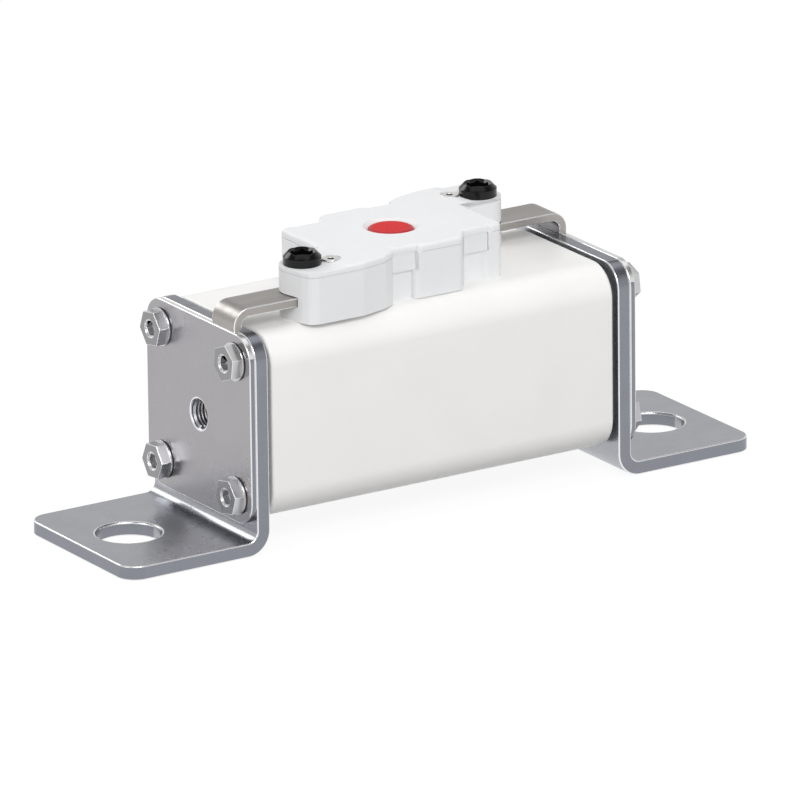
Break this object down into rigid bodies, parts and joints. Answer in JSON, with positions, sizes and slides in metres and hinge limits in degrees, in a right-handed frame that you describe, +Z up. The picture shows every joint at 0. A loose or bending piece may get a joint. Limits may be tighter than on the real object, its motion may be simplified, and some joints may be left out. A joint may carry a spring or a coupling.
{
  "type": "dc cartridge fuse",
  "caption": "Square ceramic cartridge fuse with L-shaped bolted terminals and a red striker indicator in a white moulded housing.",
  "frame": {"origin": "on the mounting surface, midway between the two feet and below the middle of the fuse", "axes": "+X along the fuse towards the right terminal, +Y across the fuse, away from the side shown in front, +Z up from the mounting surface, along which the striker comes out"},
  "size_m": [0.2944, 0.0776, 0.1142],
  "materials": {
    "glazed_ceramic_body": "satin",
    "quartz_sand": "grainy",
    "silver_strip": "bright",
    "copper_disc": "satin",
    "gasket_fibre": "matte",
    "plated_copper": "satin",
    "zinc_steel": "bright",
    "strap_metal": "satin",
    "white_moulding": "fine grain",
    "black_screw": "gloss",
    "red_plastic": "satin",
    "spring_steel": "bright"
  },
  "bodies": {
    "fuse": {"ceramic_body": "glazed_ceramic_body", "quartz_filler": "quartz_sand", "fuse_elements": "silver_strip", "left_contact_disc": "copper_disc", "right_contact_disc": "copper_disc", "left_gasket": "gasket_fibre", "right_gasket": "gasket_fibre", "left_terminal": "plated_copper", "right_terminal": "plated_copper", "left_face_plate": "plated_copper", "right_face_plate": "plated_copper", "left_end_screws": "zinc_steel", "right_end_screws": "zinc_steel", "left_strap": "strap_metal", "right_strap": "strap_metal", "indicator_base": "white_moulding", "indicator_cover": "white_moulding", "left_clamp_screw": "black_screw", "right_clamp_screw": "black_screw", "left_clamp_nut": "zinc_steel", "right_clamp_nut": "zinc_steel", "left_rivet": "zinc_steel", "right_rivet": "zinc_steel", "striker_spring": "spring_steel", "retaining_wire": "silver_strip"},
    "striker": {"striker": "red_plastic"}
  },
  "joints": [
    {"name": "striker_slide", "type": "slide", "parent": "fuse", "child": "striker", "axis": [0, 0, 1], "range_m": [0, 0.006], "deforming": ["striker_spring"]}
  ]
}
